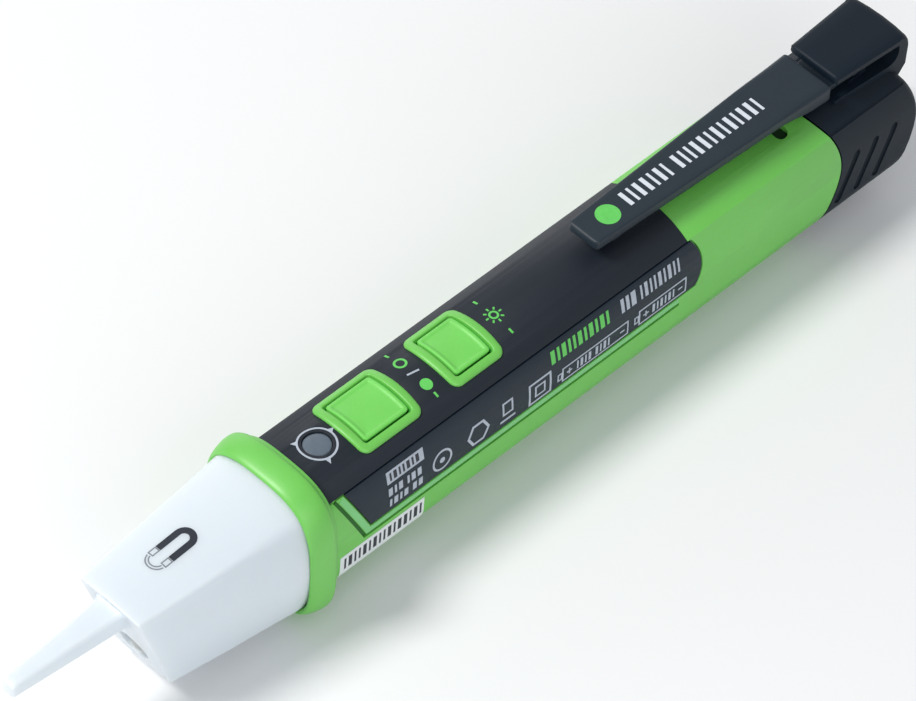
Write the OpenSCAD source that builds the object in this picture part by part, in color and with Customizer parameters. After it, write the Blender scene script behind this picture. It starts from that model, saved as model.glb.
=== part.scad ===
// Non contact voltage tester, pen shaped, with a slanted probe tip, two push buttons and a pocket clip.
// The pen lies along X: probe tip at -X, battery cap at +X, buttons and clip on top (+Z).
// Origin: the middle of the whole length, on the table that the collar stands on.
// Inside the modules, x runs from the collar's front plane and z from the pen's centre line.

/* [Length] */
// Reach of the probe in front of the collar
tip_reach = 46.8; // [45:0.1:50]
// Reach of the pen behind the collar's front plane
tail_reach = 127.5; // [126:0.1:129]
// Place of the seam between body and end cap, on the side
seam_x = 110; // [109:0.1:111]
// Rear end of the black top of the body
black_end = 78.2; // [76:0.1:80]

/* [Body] */
// Width of the body
body_w = 18.3; // [18:0.1:19]
// Height of the body
body_h = 20.9; // [20.6:0.1:21.4]
// Radius of the crowned top
crown_r = 13.5; // [13:0.1:14.5]
// Radius of the bulging sides, above the middle
side_r = 22; // [20:0.5:30]
// Corner radius of the belly
belly_r = 4.2; // [4:0.1:6]
// Wall thickness of the shells
wall = 1.4; // [1.3:0.05:1.4]
// Thickness of the black side panels
panel_t = 0.7; // [0.5:0.05:0.8]
// Height of the shoulder line that parts the top from the sides
shoulder_z = 7.75; // [7.6:0.05:7.9]
// Lower edge of the side panels
panel_z = -0.85; // [-1.2:0.05:-0.6]
// Front edge of a side panel at the shoulder and at its lower corner
panel_front = [9.3, 13.6];

/* [Collar] */
// Width of the collar
collar_w = 23; // [22.6:0.1:24]
// Height of the collar
collar_h = 26.8; // [26.4:0.1:28]
// Corner radius of the collar
collar_r = 7.5; // [7.3:0.1:7.8]
// Length of the collar along the pen
collar_len = 6.2; // [5.8:0.1:6.6]

/* [Probe tip] */
// Half width and half height of the tip housing at the collar
tip_base = [10.2, 12.05];
// Half width of the tip housing at its front face
tip_nose_w = 5.9; // [5.4:0.1:6.2]
// Top edge of the front face, from the collar
tip_nose_x = -28.4; // [-29:0.1:-28]
// Wall thickness of the tip housing
tip_wall = 1.5; // [1.3:0.1:1.6]
// Height of the probe blade at its root
blade_root_h = 4; // [3:0.1:4.2]
// Height of the blade at its end
blade_end_h = 2.6; // [2.5:0.1:2.9]
// Width of the blade at its root
blade_root_w = 4.8; // [4.4:0.1:5]
// Width of the blade at its end
blade_end_w = 2.5; // [2.3:0.1:2.7]
// Bore for the torch lamp
torch_bore = 5.6; // [5.5:0.1:5.8]

/* [Buttons] */
// Middle of the on/off button
on_off_x = 21.1; // [21:0.1:21.2]
// Middle of the light button
light_x = 38.15; // [38:0.1:38.3]
// Length and width of the on/off button
on_off_size = [8.6, 8.1];
// Length and width of the light button
light_size = [6.9, 8.1];
// Gap around a button
button_gap = 0.35; // [0.3:0.05:0.4]
// Travel of a button
button_travel = 0.5; // [0.3:0.1:0.5]
// Middle of the round status window
window_x = 11.4; // [11.2:0.1:11.6]
// Diameter of the status window
window_d = 4.4; // [4:0.1:4.6]

/* [Clip and cap] */
// Front end of the clip
clip_x = 64; // [62:0.1:66]
// Width of the clip at its front end and at its root
clip_w = [5.8, 9.4];
// Height of the clip's top face above the centre line
clip_top = 14.5; // [14.3:0.1:14.6]
// Thickness of the clip
clip_t = 1.7; // [1.5:0.1:1.8]
// Front edge of the bridge that holds the clip
bridge_x = 112; // [111.5:0.1:112.5]
// Width of the bridge at its front and at its rear
bridge_w = [9.4, 11.2];
// Height of the bridge's top face above the centre line
bridge_top = 15.2; // [15.1:0.1:15.4]
// Width of a grip groove in the side of the cap
groove_w = 1.2; // [0.8:0.1:1.4]

/* [Hidden] */
$fn = 96;

a = body_w / 2;
b = body_h / 2;
eps = 0.01;
big = 60;
crown_zc = b - crown_r;               // axis height of the crowned top
corner = [collar_w / 2 - collar_r, collar_h / 2 - collar_r];   // corner centres of the collar

// Battery bay: two AAA cells end to end, under the circuit board
cell_r = 5.25;
cell_len = 44.5;
cell_z = -3.7;
cell_x = [15.4, 60];

// Side panels
panel_gap = 0.25;                     // shadow gap around a panel
border_w = 1.2;                       // green strip between the panel and the groove around it
border_groove = [0.6, 0.45];          // width and depth of that groove

// Rest for a finger nail, under the clip
nail_x = 102;
nail_size = [2.4, 8.6, 1.2];          // length, width and depth

// Circuit board
pcb_z = 2.6;
pcb_t = 1;
pcb_top = pcb_z + pcb_t;
lid_inner_z = b - wall;               // underside of the upper shell on the middle line

// Front face of the tip housing, slanted back towards the bottom
nose_top_z = 9.7;
nose_bottom = [-21.2, -10.2];
blade_z = 5.95;
torch_z = -4.9;
tip_len = 2;                          // how far the tip housing reaches into the collar

// Buttons
bezel_rim = 1.1;                      // width of a bezel's rim around its opening
bezel_rise = 0.45;                    // how far a bezel stands above the shell
flange_z = 7.2;                       // underside of the flange that keeps a button in
switch_h = 3.2;

// End cap
seam_r = 14;                          // the seam is a wide arc in side view
seam_z = 1;
seam_gap = 0.25;
plug_x = 100.5;                       // front end of the cap's plug inside the body
cap_floor = 110;                      // inner floor of the cap, behind the batteries
cap_wall = wall + 1.2;                // thickness of the cap around the hollow behind the batteries
cap_r = 14;                           // radius of the cap's rear end in side view
cap_plan_r = 30;                      // radius of the cap's rear end in plan
groove_x = 110.2;                     // foot of the front grip groove
groove_pitch = 4.05;                  // from one grip groove to the next
groove_z = [-6, 2];                   // heights of a grip groove's ends
groove_run = 3.35;                    // how far a grip groove leans back from its lower to its upper end
groove_depth = 0.45;
bridge_low = bridge_top - 1.3;        // underside of the bridge
bridge_end = tail_reach - 2.7;        // rear end of the slot under the bridge
clip_pivot = [118, 11.75];            // bead that the clip turns on, x and z
bead_r = 1;
tongue_t = 1.1;                       // thickness of the clip's tongue under the bridge
clip_root_w = 7.2;                    // width of the jaws that hold the bead
slot_gap = 0.4;                       // clear space above and below the tongue

// The whole pen, moved so that the collar stands on the table
module placed() translate([-(tail_reach - tip_reach) / 2, 0, collar_h / 2]) children();
// A 2D section (y, z) carried along the pen from x0 to x1
module along_x(x0, x1) translate([x0, 0, 0]) rotate([90, 0, 90]) linear_extrude(x1 - x0) children();
// A 2D side view (x, z) carried across the pen from y0 to y1
module across_y(y0, y1) translate([0, y1, 0]) rotate([90, 0, 0]) linear_extrude(y1 - y0) children();
// A 2D plan (x, y) carried up from z0 to z1
module up_z(z0, z1) translate([0, 0, z0]) linear_extrude(z1 - z0) children();
module box(x, y, z) translate([x[0], y[0], z[0]]) cube([x[1] - x[0], y[1] - y[0], z[1] - z[0]]);
module rod(x0, x1, r, y = 0, z = 0) translate([x0, y, z]) rotate([0, 90, 0]) cylinder(h = x1 - x0, r = r);
module post(x, y, z0, z1, r) translate([x, y, z0]) cylinder(h = z1 - z0, r = r);

module rounded_square(w, h, r) {
  square([w - 2 * r, h], center = true);
  square([w, h - 2 * r], center = true);
  for (i = [-1, 1], j = [-1, 1]) translate([i * (w / 2 - r), j * (h / 2 - r)]) circle(r);
}

// Section of the body, t inside its outer face: crowned top, bulging sides, round belly
module body_section(t = 0) {
  intersection() {
    translate([-a, 0]) square([2 * a, 2 * b]);
    translate([0, crown_zc]) circle(crown_r - t);
    translate([a - side_r, 0]) circle(side_r - t);
    translate([side_r - a, 0]) circle(side_r - t);
  }
  translate([t - a, belly_r - b]) square([2 * (a - t), b - belly_r]);
  translate([belly_r - a, t - b]) square([2 * (a - belly_r), b - t]);
  for (i = [-1, 1]) translate([i * (a - belly_r), belly_r - b]) circle(belly_r - t);
}

// A solid of rounded-rectangle section whose outline follows a profile: points of [x, corner radius]
module flared(profile) {
  mirrored = concat(profile, [for (i = [len(profile) - 1 : -1 : 0]) [profile[i][0], -profile[i][1]]]);
  turned = concat([[0, profile[0][0]]], [for (p = profile) [p[1], p[0]]],
    [[0, profile[len(profile) - 1][0]]]);
  x0 = profile[0][0];
  x1 = profile[len(profile) - 1][0];
  for (i = [-1, 1], j = [-1, 1]) translate([0, i * corner[0], j * corner[1]])
    rotate([0, 90, 0]) rotate_extrude() polygon(turned);
  for (j = [-1, 1]) translate([0, 0, j * corner[1]]) across_y(-corner[0], corner[0]) polygon(mirrored);
  for (i = [-1, 1]) translate([0, i * corner[0], 0]) up_z(-corner[1], corner[1]) polygon(mirrored);
  box([x0, x1], [-corner[0], corner[0]], [-corner[1], corner[1]]);
}

// Side view of a side panel, grown by g at its front and below: slanted front edge, arched rear end
module panel_side(g = 0) {
  rear = [72.7 - g + min(g, panel_gap), 3.1];
  rear_r = 7.6 + g;
  low = panel_z - g;
  top = shoulder_z + g;
  slant = (panel_front[1] - panel_front[0]) / (shoulder_z - panel_z);
  front = g * sqrt(1 + slant * slant);
  intersection() {
    polygon([[panel_front[0] - front - g * slant, top], [panel_front[1] - front + g * slant, low],
      [90, low], [90, top]]);
    union() {
      square([2 * rear[0], 4 * big], center = true);
      translate(rear) circle(rear_r);
    }
  }
}

// Outline of the tip housing's section at the collar: four crowned sides
function squircle(w, h, p, n) = [for (i = [0 : n - 1]) let (c = cos(360 * i / n), s = sin(360 * i / n))
  [w * sign(c) * pow(abs(c), 2 / p), h * sign(s) * pow(abs(s), 2 / p)]];

// Outline of the tip housing's front face: flat sides, crowned top and bottom
function nose_outline(w, h, crown) = concat(
  [for (i = [-4 : 4]) [w * i / 4, h - crown * pow(i / 4, 2)]],
  [for (i = [4 : -1 : -4]) [w * i / 4, -h + crown * pow(i / 4, 2)]]);

// Tip housing from x_end to the slanted front face, t inside its outer face
module tip_form(t = 0, x_end = 0) {
  face = nose_bottom - [tip_nose_x, nose_top_z];
  mid = ([tip_nose_x, nose_top_z] + nose_bottom) / 2;
  lean = atan2(face[0], -face[1]);
  hull() {
    along_x(x_end - eps, x_end) polygon(squircle(tip_base[0] - t, tip_base[1] - t, 3, 64));
    translate([mid[0] + t, 0, mid[1]]) rotate([0, -lean, 0]) along_x(0, eps)
      polygon(nose_outline(tip_nose_w - t, norm(face) / 2 - t, 0.85));
  }
}

// Flat probe blade that narrows towards its rounded end
module blade_form(t = 0) {
  intersection() {
    up_z(blade_z - blade_root_h / 2 + t, blade_z + blade_root_h / 2 - t) hull() {
      translate([-24, 0]) square([eps, blade_root_w + 0.6 - 2 * t], center = true);
      translate([-tip_reach + 1 + t, blade_end_w / 2 - 1]) circle(1 - t / 2, $fn = 24);
      translate([-tip_reach + 1 + t, 1 - blade_end_w / 2]) circle(1 - t / 2, $fn = 24);
    }
    across_y(-4, 4) hull() {
      translate([-24, blade_z]) square([eps, blade_root_h], center = true);
      for (i = [-1, 1]) translate([-tip_reach + 1, blade_z + i * (blade_end_h / 2 - 1)]) circle(1, $fn = 24);
    }
  }
}

module tip_housing() {
  color([0.9, 0.93, 0.96]) difference() {
    union() {
      tip_form(0, 0);
      blade_form();
      intersection() {                                    // base inside the collar
        flared([[-eps, 6.1], [tip_len, 6.1]]);
        box([-1, tip_len], [-10.2, 10.2], [-12.05, 12.05]);
      }
    }
    difference() {
      union() {
        tip_form(tip_wall, 0);
        along_x(-3, tip_len + 1) body_section(wall);
      }
      rod(-26, -16, torch_bore / 2 + 1.1, 0, torch_z);    // socket of the torch lamp
    }
    rod(-40, -10, torch_bore / 2, 0, torch_z);
    rod(-tip_reach + 2.4, -20, 0.55, 0, blade_z);         // channel of the antenna
  }
}

module probe_antenna() color([0.85, 0.55, 0.25]) {
  rod(-tip_reach + 2.6, -17, 0.4, 0, blade_z);
  post(-17.4, 0, pcb_top, blade_z, 0.4);
}

module lamp(x, r, len, z) {
  rod(x + r, x + len, r, 0, z);
  translate([x + r, 0, z]) sphere(r);
  rod(x + len - 1, x + len, r + 0.35, 0, z);
}

module torch_led() color([0.95, 0.95, 0.85]) {
  lamp(-23, 2.5, 8.6, torch_z);
  for (y = [-1.27, 1.27]) {
    rod(-14.4, -9.8, 0.25, y, torch_z);
    post(-9.8, y, torch_z - 0.25, pcb_z, 0.25);
  }
}

// Small upright lamp on the board
module board_lamp(x, y, r, h) {
  post(x, y, pcb_top, pcb_top + h - r, r);
  translate([x, y, pcb_top + h - r]) sphere(r);
}
module warning_led_red() color([0.9, 0.25, 0.2]) board_lamp(-12.5, -2, 1.4, 3.8);
module ready_led_green() color([0.3, 0.85, 0.3]) board_lamp(-12.5, 2, 1.4, 3.8);

// Coil on its core, lying across the board
module magnetic_sensor_coil() color([0.7, 0.4, 0.2]) {
  translate([-6, -3.1, pcb_top + 2]) rotate([-90, 0, 0]) {
    cylinder(h = 6.2, r = 1.2);
    for (z = [0, 5.5]) translate([0, 0, z]) cylinder(h = 0.7, r = 2);
    translate([0, 0, 0.7]) cylinder(h = 4.8, r = 1.7);
  }
}

module collar_ring() {
  color([0.43, 0.8, 0.36]) difference() {
    flared([[0, 6.55], [0.35, 6.85], [1.2, 7.2], [2.4, collar_r - 0.1], [3.2, collar_r],
      [4.4, collar_r], [4.8, collar_r - 0.35], [5.1, 6.4], [5.5, 5.9], [collar_len, 5.5]]);
    intersection() {
      flared([[-1, 6.1], [tip_len, 6.1]]);
      box([-1, tip_len], [-10.2, 10.2], [-12.05, 12.05]);
    }
    along_x(tip_len, collar_len + 1) body_section();
  }
}

// Body from the collar to the seam, t inside its outer face
module body_form(t = 0) {
  intersection() {
    along_x(tip_len, seam_x + 1) body_section(t);
    union() {
      box([0, seam_x - seam_r], [-big, big], [-big, big]);
      translate([seam_x - seam_r, 0, seam_z]) rotate([90, 0, 0])
        cylinder(h = 2 * big, r = seam_r, center = true);
    }
  }
}

// Both side panels' space in the body, grown by g
module panel_space(g = 0) {
  difference() {
    across_y(-big, big) panel_side(g);
    along_x(0, 100) body_section(panel_t);
  }
}

module lower_shell() {
  color([0.43, 0.8, 0.36]) difference() {
    body_form();
    along_x(0, seam_x + 2) body_section(wall);
    box([0, black_end], [-big, big], [shoulder_z, big]);      // room for the upper shell
    panel_space(panel_gap);
    difference() {                                            // groove outside the green border strip
      across_y(-big, big) difference() {
        panel_side(panel_gap + border_w + border_groove[0]);
        panel_side(panel_gap + border_w);
        translate([76, -big]) square(2 * big);
      }
      along_x(0, 100) body_section(border_groove[1]);
    }
    translate([nail_x, 0, 0]) up_z(b - nail_size[2], b + 1) rounded_square(nail_size[0], nail_size[1], 1.1);
  }
  color([0.43, 0.8, 0.36]) for (i = [-1, 1])                  // ledges that carry the board
    intersection() {
      box([8, 61.5], [min(i * 6.6, i * 7.9), max(i * 6.6, i * 7.9)], [1.7, pcb_z]);
      along_x(0, 70) body_section(wall - 0.2);
    }
}

module opening(x, size, g) translate([x, 0, 0]) rounded_square(size[0] + 2 * g, size[1] + 2 * g, 1.1 + g);

// Outline of a bezel: the opening's rim with a bowed rear edge
module bezel_plan(x, size, g = 0) {
  rim = button_gap + bezel_rim + g;
  opening(x, size, rim);
  translate([x, 0]) intersection() {
    translate([size[0] / 2 + rim + 0.5 - 22, 0]) circle(22);
    translate([size[0] / 2, 0]) square([8, size[1] + 2 * rim - 2.6], center = true);
  }
}

module upper_shell() {
  color([0.19, 0.21, 0.25]) difference() {
    intersection() {
      along_x(tip_len, black_end - 0.05) body_section();
      box([tip_len, black_end], [-big, big], [shoulder_z + 0.05, big]);
    }
    along_x(0, 100) body_section(wall);
    up_z(0, big) bezel_plan(on_off_x, on_off_size);
    up_z(0, big) bezel_plan(light_x, light_size);
    post(window_x, 0, 0, big, window_d / 2);
    difference() {                                            // shadow line along the shoulder
      box([0, 100], [-big, big], [shoulder_z - 1, shoulder_z + 0.3]);
      along_x(0, 100) body_section(0.3);
    }
  }
}

module side_panel(side) {
  color([0.19, 0.21, 0.25]) intersection() {
    difference() {
      along_x(0, 100) body_section();
      along_x(0, 100) body_section(panel_t);
    }
    across_y(side > 0 ? 0 : -big, side > 0 ? big : 0) panel_side(0);
  }
}
module left_side_panel() side_panel(1);
module right_side_panel() side_panel(-1);

module bezel(x, size) {
  color([0.43, 0.8, 0.36]) intersection() {
    difference() {
      up_z(lid_inner_z - 0.6, big) bezel_plan(x, size);
      up_z(0, big) opening(x, size, button_gap);
    }
    along_x(0, 100) translate([0, crown_zc]) circle(crown_r + bezel_rise);
  }
}
module on_off_bezel() bezel(on_off_x, on_off_size);
module light_bezel() bezel(light_x, light_size);

// Button cap with a shallow finger dish, a flange under the bezel and a plunger
module button(x, size) {
  color([0.47, 0.84, 0.4]) difference() {
    union() {
      intersection() {
        up_z(flange_z, big) opening(x, size, 0);
        along_x(0, 100) translate([0, crown_zc]) circle(crown_r + bezel_rise - 0.1);
      }
      up_z(flange_z, flange_z + 0.7) opening(x, size, 0.75);
    }
    translate([x, 0, b + 45.1]) sphere(45);
    box([x - size[0] / 2 + 1, x + size[0] / 2 - 1], [-size[1] / 2 + 1, size[1] / 2 - 1], [0, b - 1.3]);
  }
  color([0.47, 0.84, 0.4]) post(x, 0, pcb_top + switch_h + button_travel + 0.15, b - 1.2, 1.5);
}
module on_off_button() button(on_off_x, on_off_size);
module light_button() button(light_x, light_size);

// Grey light guide with a flange, standing over its lamp
module status_window() color([0.5, 0.57, 0.63]) {
  post(window_x, 0, pcb_top + 1.5, b - 0.25, window_d / 2);
  post(window_x, 0, lid_inner_z - 1.1, lid_inner_z - 0.5, window_d / 2 + 0.9);
}
module status_led() color([0.9, 0.9, 0.7])
  box([window_x - 1.6, window_x + 1.6], [-1.4, 1.4], [pcb_top, pcb_top + 1.2]);

module circuit_board() {
  color([0.1, 0.4, 0.25]) difference() {
    up_z(pcb_z, pcb_top) {
      translate([3, -7.2]) square([62, 14.4]);
      translate([-19, -3.4]) square([30, 6.8]);
    }
    for (y = [-1.27, 1.27]) post(-9.8, y, 0, 10, 0.4);
  }
}

// Push switch under a button
module push_switch(x) color([0.25, 0.25, 0.27]) {
  box([x - 3, x + 3], [-3, 3], [pcb_top, pcb_top + 2.6]);
  post(x, 0, pcb_top + 2.6, pcb_top + switch_h, 1.7);
}
module on_off_switch() push_switch(on_off_x);
module light_switch() push_switch(light_x);

module control_chip() color([0.12, 0.12, 0.13])
  box([27, 32], [-2.5, 2.5], [pcb_top, pcb_top + 0.9]);
module amplifier_chip() color([0.12, 0.12, 0.13])
  box([3.5, 6.5], [-1.5, 1.5], [pcb_top, pcb_top + 0.9]);
module board_capacitors() color([0.75, 0.65, 0.5])
  for (x = [4, 14, 25, 30.5, 45, 48], i = [-1, 1])
    box([x, x + 1.6], [i * 5.2 - 0.4, i * 5.2 + 0.4], [pcb_top, pcb_top + 0.8]);
module buzzer() color([0.15, 0.15, 0.16]) difference() {
  post(54, 0, pcb_top, pcb_top + 4, 4.5);
  post(54, 0, pcb_top + 3, pcb_top + 5, 0.9);
}

module front_battery_contact() color([0.8, 0.8, 0.78]) {
  box([14.6, 15], [-4.2, 4.2], [cell_z - 4.2, pcb_z]);
}
// Strip that carries the cap's contact to the board
module contact_strip() color([0.8, 0.8, 0.78]) {
  box([62, 99.8], [6.9, 7.2], [-1.2, 1.4]);
  box([62, 64], [6.9, 7.2], [1.4, pcb_z]);
}

module cell(x) {
  rod(x + 0.8, x + cell_len, cell_r, 0, cell_z);
  rod(x, x + 0.8, 1.9, 0, cell_z);
}
module front_battery() color([0.75, 0.6, 0.3]) cell(cell_x[0]);
module rear_battery() color([0.75, 0.6, 0.3]) cell(cell_x[1]);

// Outer form of the cap: the body's section, rounded at its rear in side view and in plan
module cap_form() {
  round_r = 2.4;
  bridge_rear = tail_reach - 0.4;
  post_x = bridge_rear - round_r;
  intersection() {
    union() {
      intersection() {
        along_x(seam_x - 8, tail_reach + 1) body_section();
        across_y(-big, big) union() {
          translate([tail_reach - cap_r, 0]) circle(cap_r);
          translate([seam_x - 9, -big]) square([tail_reach - seam_x + 9 - cap_r, 2 * big]);
        }
      }
      intersection() {                                        // bridge over the clip
        across_y(-10, 10) union() {
          translate([bridge_x, 5]) square([post_x - bridge_x, bridge_top - 5]);
          translate([post_x - eps, 5]) square([round_r, bridge_top - round_r - 5]);
          translate([post_x - eps, bridge_top - round_r]) circle(round_r);
        }
        up_z(0, 20) polygon([[bridge_x - 1, -bridge_w[0] / 2], [bridge_rear, -bridge_w[1] / 2],
          [bridge_rear, bridge_w[1] / 2], [bridge_x - 1, bridge_w[0] / 2]]);
      }
    }
    up_z(-big, big) translate([tail_reach - cap_plan_r, 0]) circle(cap_plan_r, $fn = 180);
  }
}

module end_cap() {
  color([0.18, 0.2, 0.24]) difference() {
    union() {
      difference() {
        cap_form();
        seam_cut(seam_gap);
        box([bridge_x - 9, bridge_end], [-big, big], [b, bridge_low]);       // slot under the bridge
        along_x(seam_x - 9, cap_floor) body_section(cap_wall);               // hollow behind the cells
      }
      intersection() {                                        // jaws that hold the clip's bead
        translate([clip_pivot[0], 0, 0])
          box([-1.8, 1.8], [-clip_root_w / 2, clip_root_w / 2], [8, bridge_top - 1]);
        cap_form();
      }
      difference() {                                          // plug that enters the body
        along_x(plug_x, cap_floor + 0.5) body_section(wall + 0.1);
        along_x(plug_x - 1, cap_floor) body_section(wall + 1);
        rod(plug_x - 1, cap_floor, cell_r + 0.2, 0, cell_z);
        box([plug_x - 1, cap_floor], [-cell_r - 0.2, cell_r + 0.2], [-big, cell_z]);
      }
    }
    translate([clip_pivot[0], 0, clip_pivot[1]]) rotate([90, 0, 0])
      cylinder(h = bridge_w[0] + 1, r = bead_r + 0.05, center = true);
    box([bridge_x, clip_pivot[0]], [-bridge_w[0], bridge_w[0]],
      [clip_pivot[1] - tongue_t / 2 - slot_gap, clip_pivot[1] + tongue_t / 2 + slot_gap]);
    difference() {                                            // three grip grooves on each side
      for (k = [0 : 2]) translate([groove_x + groove_pitch * k, 0, 0]) across_y(-big, big) groove_side();
      along_x(seam_x - 9, tail_reach) body_section(groove_depth);
    }
  }
}

// Side view of one slanted grip groove
module groove_side() {
  half = groove_w / 2;
  polygon([[-half, groove_z[0]], [half, groove_z[0]], [groove_run + half, groove_z[1]],
    [groove_run - half, groove_z[1]]]);
  translate([0, groove_z[0]]) circle(half);
  translate([groove_run, groove_z[1]]) circle(half);
}

// Cuts away everything in front of the seam, g behind the body's arched rear end
module seam_cut(g) {
  translate([seam_x - seam_r, 0, seam_z]) rotate([90, 0, 0]) cylinder(h = big, r = seam_r + g, center = true);
  box([seam_x - 12, seam_x - seam_r + 4], [-big, big], [-big, big]);
}

module cap_contact_plate() color([0.8, 0.8, 0.78]) {
  box([cap_floor - 0.4, cap_floor], [-5, 6.6], [-3, 1.5]);
  box([cap_floor - 0.4, cap_floor], [-5, 5], [-7.2, -3]);
  box([plug_x, cap_floor], [6.3, 6.6], [-1, 1]);
}

// Wire coil about the pen's length: rings of points along a helix that widens from r0 to r1
module coil(x0, x1, r0, r1, turns, wire) {
  n = 24 * turns;
  m = 8;
  points = [for (i = [0 : n], j = [0 : m - 1])
    let (t = i / n, r = r0 + (r1 - r0) * t + wire * cos(360 * j / m), turn = 360 * turns * t)
    [x0 + (x1 - x0) * t + wire * sin(360 * j / m), r * cos(turn), r * sin(turn)]];
  sides = [for (i = [0 : n - 1], j = [0 : m - 1]) let (k = (j + 1) % m)
    [i * m + j, i * m + k, (i + 1) * m + k, (i + 1) * m + j]];
  polyhedron(points, concat([[for (j = [m - 1 : -1 : 0]) j]], sides, [[for (j = [0 : m - 1]) n * m + j]]));
}
module cap_contact_spring() color([0.82, 0.82, 0.8])
  translate([0, 0, cell_z]) coil(cell_x[1] + cell_len + 0.45, cap_floor - 0.8, 2.2, 3.6, 4, 0.3);

// Clip: a narrowing bar, a pad that meets the body, and a tongue with a bead under the bridge
module pocket_clip() {
  root = bridge_x - 1;
  low = clip_top - clip_t;
  color([0.2, 0.22, 0.26]) {
    intersection() {
      across_y(-10, 10) {
        polygon([[clip_x, low + 0.4], [clip_x, clip_top - 0.5], [clip_x + 0.6, clip_top],
          [root, clip_top], [root, clip_pivot[1] - tongue_t / 2], [root - 6, clip_pivot[1] - tongue_t / 2],
          [root - 11, low], [clip_x + 0.6, low]]);
        intersection() {
          translate([clip_x + 5.5, b + 0.25 + 3]) circle(3);
          translate([clip_x, 0]) square([12, clip_top - 0.5]);
        }
      }
      up_z(0, 20) difference() {
        polygon([[clip_x, -clip_w[0] / 2], [root, -clip_w[1] / 2], [root, clip_w[1] / 2],
          [clip_x, clip_w[0] / 2]]);
        for (i = [-1, 1]) translate([clip_x - eps, i * (clip_w[0] / 2 + eps)]) difference() {
          square(1.6, center = true);
          translate([0.8, -i * 0.8]) circle(0.8);
        }
      }
    }
    box([root - 1, clip_pivot[0]], [-clip_root_w / 2 + 0.3, clip_root_w / 2 - 0.3],
      [clip_pivot[1] - tongue_t / 2, clip_pivot[1] + tongue_t / 2]);
    translate([clip_pivot[0], 0, clip_pivot[1]]) rotate([90, 0, 0])
      cylinder(h = clip_root_w - 0.6, r = bead_r, center = true);
  }
}

placed() tip_housing();
placed() probe_antenna();
placed() torch_led();
placed() warning_led_red();
placed() ready_led_green();
placed() magnetic_sensor_coil();
placed() collar_ring();
placed() lower_shell();
placed() upper_shell();
placed() left_side_panel();
placed() right_side_panel();
placed() on_off_bezel();
placed() light_bezel();
placed() on_off_button();
placed() light_button();
placed() status_window();
placed() status_led();
placed() circuit_board();
placed() on_off_switch();
placed() light_switch();
placed() control_chip();
placed() amplifier_chip();
placed() board_capacitors();
placed() buzzer();
placed() front_battery_contact();
placed() contact_strip();
placed() front_battery();
placed() rear_battery();
placed() end_cap();
placed() cap_contact_plate();
placed() cap_contact_spring();
placed() pocket_clip();
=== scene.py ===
"""Looks of the non contact voltage tester: fine meshes, printed marks, plastics, light and camera."""
import math

import bmesh
import bpy
from mathutils import Matrix, Vector


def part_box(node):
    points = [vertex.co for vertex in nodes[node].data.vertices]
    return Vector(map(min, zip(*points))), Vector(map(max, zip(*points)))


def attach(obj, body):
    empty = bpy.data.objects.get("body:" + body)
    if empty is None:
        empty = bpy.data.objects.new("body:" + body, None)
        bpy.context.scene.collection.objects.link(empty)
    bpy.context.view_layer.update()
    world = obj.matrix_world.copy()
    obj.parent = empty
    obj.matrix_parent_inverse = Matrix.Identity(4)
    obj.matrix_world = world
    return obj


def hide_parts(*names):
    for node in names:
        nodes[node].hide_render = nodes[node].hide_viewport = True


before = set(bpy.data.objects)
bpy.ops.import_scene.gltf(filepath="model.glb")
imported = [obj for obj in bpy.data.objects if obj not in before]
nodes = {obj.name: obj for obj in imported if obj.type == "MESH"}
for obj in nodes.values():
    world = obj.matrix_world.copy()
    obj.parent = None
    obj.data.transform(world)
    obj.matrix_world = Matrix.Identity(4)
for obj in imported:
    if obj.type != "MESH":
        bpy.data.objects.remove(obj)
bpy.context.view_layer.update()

# Lengths below are in mm: x behind the collar's front plane, z above the pen's centre line
MM = 0.001
collar_lo, collar_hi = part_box("collar_ring")
FRONT = collar_lo.x
AXIS = (collar_lo.z + collar_hi.z) / 2

BODY_W, BODY_H = 9.15, 10.45          # half width and half height of the body
CROWN_R, SIDE_R, BELLY_R = 13.5, 22.0, 4.2
CROWN_Z = BODY_H - CROWN_R            # axis height of the crowned top
SHOULDER_Z = 7.75                     # height of the line that parts the black top from the sides
CELL_Z = -3.7                         # axis height of the battery cells


def place(x, y, z):
    """The point in the shared frame, in metres."""
    return (FRONT + x * MM, y * MM, AXIS + z * MM)


# ---------------------------------------------------------------- materials

class Graph:
    """A material's node graph, with sockets given by name."""

    def __init__(self, name):
        self.material = bpy.data.materials.new(name)
        self.material.use_nodes = True
        self.tree = self.material.node_tree
        self.tree.nodes.clear()
        self.output = self.tree.nodes.new("ShaderNodeOutputMaterial")

    def add(self, kind, inputs=None, **settings):
        node = self.tree.nodes.new("ShaderNode" + kind)
        for key, value in settings.items():
            setattr(node, key, value)
        for key, value in (inputs or {}).items():
            if isinstance(value, bpy.types.NodeSocket):
                self.tree.links.new(value, node.inputs[key])
            else:
                node.inputs[key].default_value = value
        return node

    def noise(self, vector, scale, detail=3.0, roughness=0.5):
        return self.add("TexNoise", {"Vector": vector, "Scale": scale, "Detail": detail,
                                     "Roughness": roughness}).outputs["Fac"]

    def ramp(self, fac, stops):
        """Colour ramp through stops of (position, colour)."""
        node = self.add("ValToRGB", {"Fac": fac})
        elements = node.color_ramp.elements
        while len(elements) < len(stops):
            elements.new(0.5)
        for element, (position, colour) in zip(elements, stops):
            element.position, element.color = position, colour
        return node.outputs["Color"]

    def span(self, value, low, high):
        return self.add("MapRange", {"Value": value, "To Min": low, "To Max": high}).outputs["Result"]

    def finish(self, shader):
        self.tree.links.new(shader.outputs[0], self.output.inputs["Surface"])
        return self.material


def linear(r, g, b):
    """Linear colour from 0-255 display values."""
    def channel(v):
        v /= 255
        return v / 12.92 if v <= 0.04045 else ((v + 0.055) / 1.055) ** 2.4
    return (channel(r), channel(g), channel(b), 1.0)


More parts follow.
